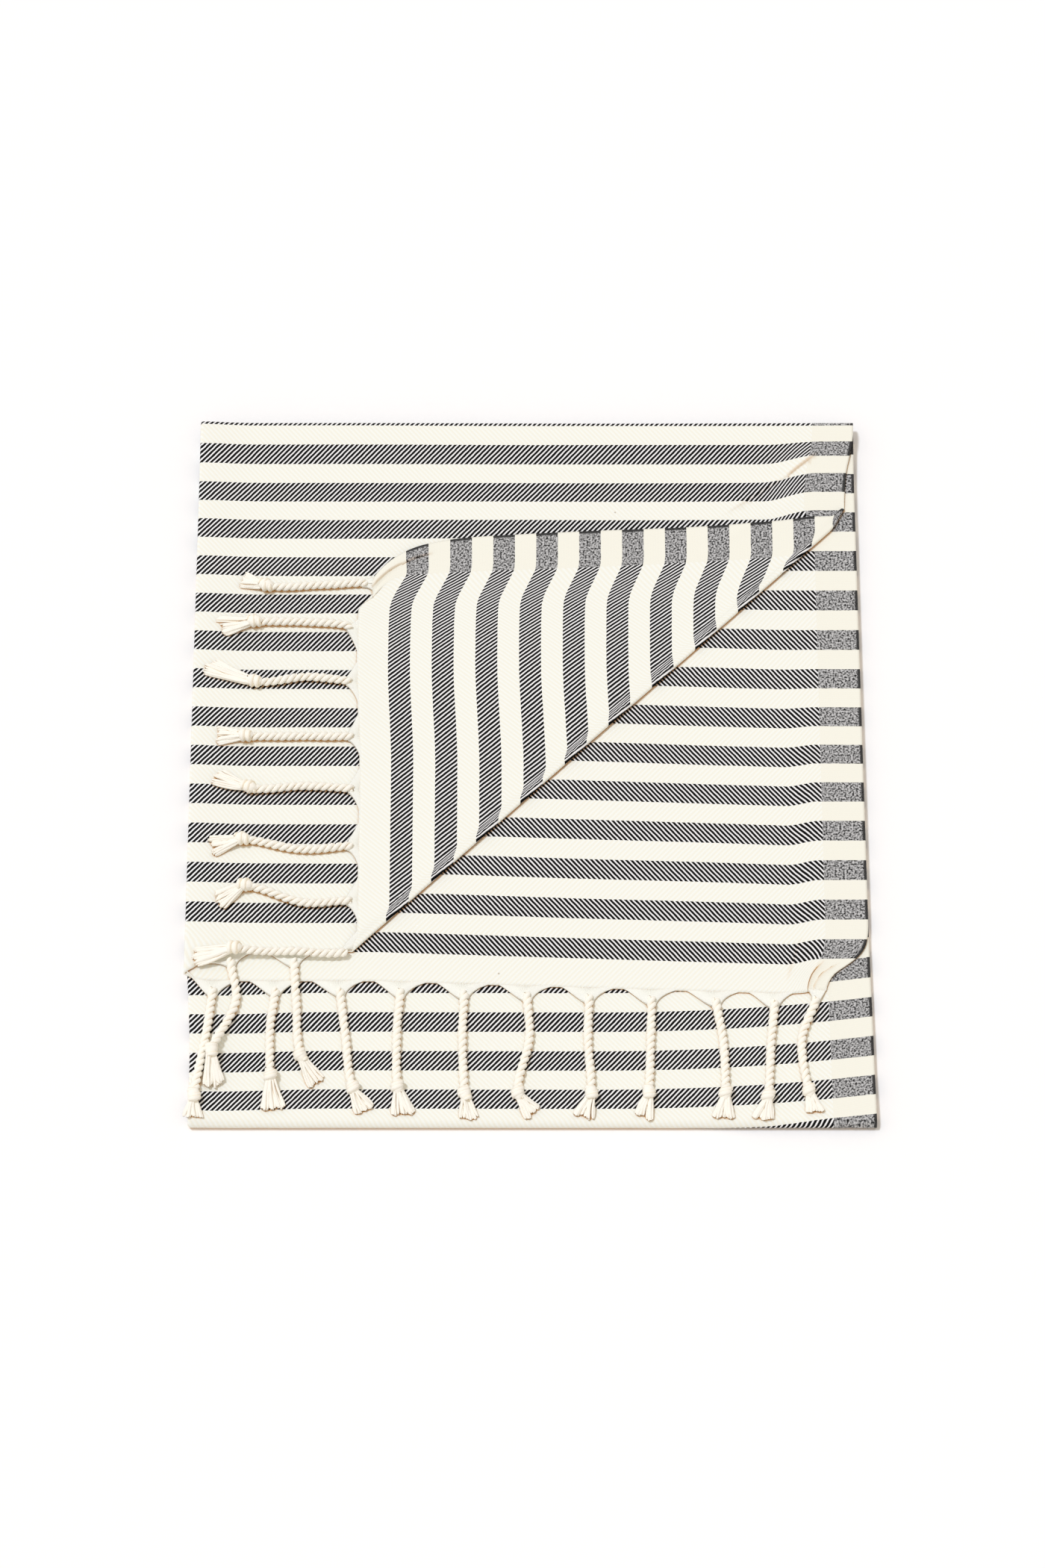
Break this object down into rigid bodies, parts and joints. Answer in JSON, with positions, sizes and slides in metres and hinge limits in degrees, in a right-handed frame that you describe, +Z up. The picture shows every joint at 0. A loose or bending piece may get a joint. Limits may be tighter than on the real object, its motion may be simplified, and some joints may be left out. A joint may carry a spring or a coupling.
{
  "type": "beach towel",
  "caption": "Flat-woven cotton beach towel with dark twill stripes and knotted fringes, folded in a flat stack with the near corner of its top layer turned back.",
  "frame": {"origin": "centre of the folded stack's footprint, on the surface that it lies on", "axes": "+Z up from the surface, +X along the folded width away from the long fold, +Y along the folded length away from the fringe that shows"},
  "size_m": [0.502, 0.5932, 0.0219],
  "materials": {
    "woven_cotton": "undyed cotton with near-black twill stripes, matt",
    "fringe_cotton": "undyed twisted cotton yarn, matt"
  },
  "bodies": {
    "root": {"towel_cloth": "woven_cotton", "front_fringe": "fringe_cotton", "back_fringe": "fringe_cotton"}
  },
  "joints": []
}
